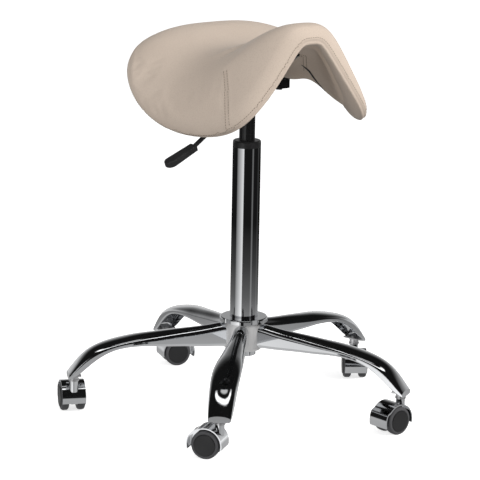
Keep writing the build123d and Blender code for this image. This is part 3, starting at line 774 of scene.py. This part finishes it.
cushion_stitches = sew_cushion()
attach(cushion, "seat")
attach(cushion_stitches, "seat")
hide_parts("seat_cushion")
# The chrome mirrors the studio, not the seat
cushion.visible_glossy = False

# ---- underside cover ------------------------------------------------------------------------------

COVER_SCALE = 0.90
COVER_TOP_GAP = 0.0065
COVER_PLY = 0.0027


def cover_rows(across, edge_rows):
    """(share, depth below the cushion's underside) rows of the thin underside panel."""
    edge = 1 - 0.5 * COVER_PLY / (RIM_RUN * COVER_SCALE)
    rows = [(edge * (k / across) ** 0.9, 0.0) for k in range(across)]
    for k in range(edge_rows + 1):
        turn = math.pi * k / edge_rows
        rows.append((edge + (1 - edge) * math.sin(turn), COVER_PLY / 2 * (1 - math.cos(turn))))
    rows += [(edge * (1 - k / across) ** 0.9, COVER_PLY) for k in range(1, across + 1)]
    return rows


def cover_gap(share):
    """Room for the shell over most of the panel, closing to nothing where the panel is sewn down."""
    x = min(1.0, max(0.0, (share - 0.88) / 0.12))
    return COVER_TOP_GAP - (COVER_TOP_GAP + 0.0035) * x * x * (3 - 2 * x)


def pan_depth(t, arc):
    """How far the underside bulges below the shell: a shallow pan over the mechanism, deeper beside it."""
    front = 1 / (1 + np.exp(-(t + 0.13) / 0.03))
    back = 1 / (1 + np.exp((t - 0.72) / 0.06))
    middle = 0.010 * np.exp(-((arc / 0.13) ** 4))
    flanks = 0.007 * np.exp(-(((np.abs(arc) - 0.100) / 0.030) ** 2))
    return front * back * (middle + flanks)


def make_cover():
    rows = [
        (share, cushion_depth(share * COVER_SCALE) + cover_gap(share) + depth)
        for share, depth in cover_rows(40, 8)
    ]
    columns = 300
    co = padded_shape(rows, columns, COVER_SCALE, pan_depth)
    faces = ring_mesh(len(rows) - 2, columns)
    cover = mesh_object("underside_panel", co, faces)
    if vertex_normals(cover)[0][2] < 0:
        cover.data.flip_normals()
    cover.data.materials.append(MATERIALS["underside_cover"])
    return cover


cover = make_cover()


def under_line(route, side, spacing=0.004):
    """A line on the outer face of the underside panel, with its normals, through (t, arc) points."""
    route = np.asarray(route, float)
    lengths = np.hypot(np.diff(route[:, 0]) * HALF_LENGTH, np.diff(route[:, 1]))
    run = np.concatenate([[0], np.cumsum(lengths)])
    where = np.linspace(0, run[-1], int(run[-1] / spacing) + 2)
    t, arc = np.interp(where, run, route[:, 0]), np.interp(where, run, route[:, 1])
    across = np.abs(arc) / along(t, ARC_HALF_WIDTH)
    share = (across**CORNER_POWER + np.abs(t) ** CORNER_POWER) ** (1 / CORNER_POWER)
    depth = np.array([cushion_depth(s) for s in share]) + COVER_TOP_GAP + COVER_PLY + pan_depth(t, arc)
    return on_surface(cover, skin_point(t, side * arc, depth))


def strip_mesh(name, lines, half_width, thickness):
    """Narrow closed strips lying on a surface and tapering to a point at both ends."""
    vertices, faces = [], []
    for points, normals in lines:
        ahead = np.gradient(points, axis=0)
        across = np.cross(ahead, normals)
        across /= np.maximum(1e-9, np.linalg.norm(across, axis=1, keepdims=True))
        count, start = len(points), len(vertices)
        taper = np.clip(np.minimum(np.arange(count), np.arange(count)[::-1]) / 6.0, 0.12, 1.0)
        for p, side, up, w in zip(points, across, normals, taper * half_width):
            vertices += [p - side * w - up * thickness, p - side * w * 0.8 + up * thickness]
            vertices += [p + side * w * 0.8 + up * thickness, p + side * w - up * thickness]
        for k in range(count - 1):
            a = start + 4 * k
            for m in range(4):
                n = (m + 1) % 4
                faces.append((a + m, a + 4 + m, a + 4 + n, a + n))
        faces.append((start + 3, start + 2, start + 1, start))
        end = start + 4 * (count - 1)
        faces.append((end, end + 1, end + 2, end + 3))
    made = mesh_object(name, vertices, faces)
    # The strips get the near-black finish: painted shade along the underside seam
    made.data.materials.append(SEAM_SHADE_FINISH)
    return made


# Sewn patch behind the pommel, and a near-black strip on the underside seam between each wing and the pan:
# painted shade for the dark slit along that seam
PATCH_ROUTE = ((-0.53, 0.004), (-0.53, 0.061), (-0.23, 0.110))
INNER_PATCH_ROUTE = ((-0.50, 0.004), (-0.50, 0.055), (-0.21, 0.102))
SHADED_SLIT_ROUTE = ((-0.33, 0.075), (-0.27, 0.110), (-0.17, 0.145), (-0.09, 0.175), (-0.02, 0.200))
patch_stitches = stitch_mesh(
    "underside_stitches",
    [under_line(route, side) for side in (-1, 1) for route in (PATCH_ROUTE, INNER_PATCH_ROUTE)],
)
shaded_slit_lines = [under_line(SHADED_SLIT_ROUTE, side) for side in (-1, 1)]
seam_shade_strip = strip_mesh("seam_shade_strip", shaded_slit_lines, 0.0022, 0.0006)
for piece in (patch_stitches, seam_shade_strip):
    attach(piece, "seat")
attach(cover, "seat")
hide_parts("bottom_cover")
cover.visible_glossy = False
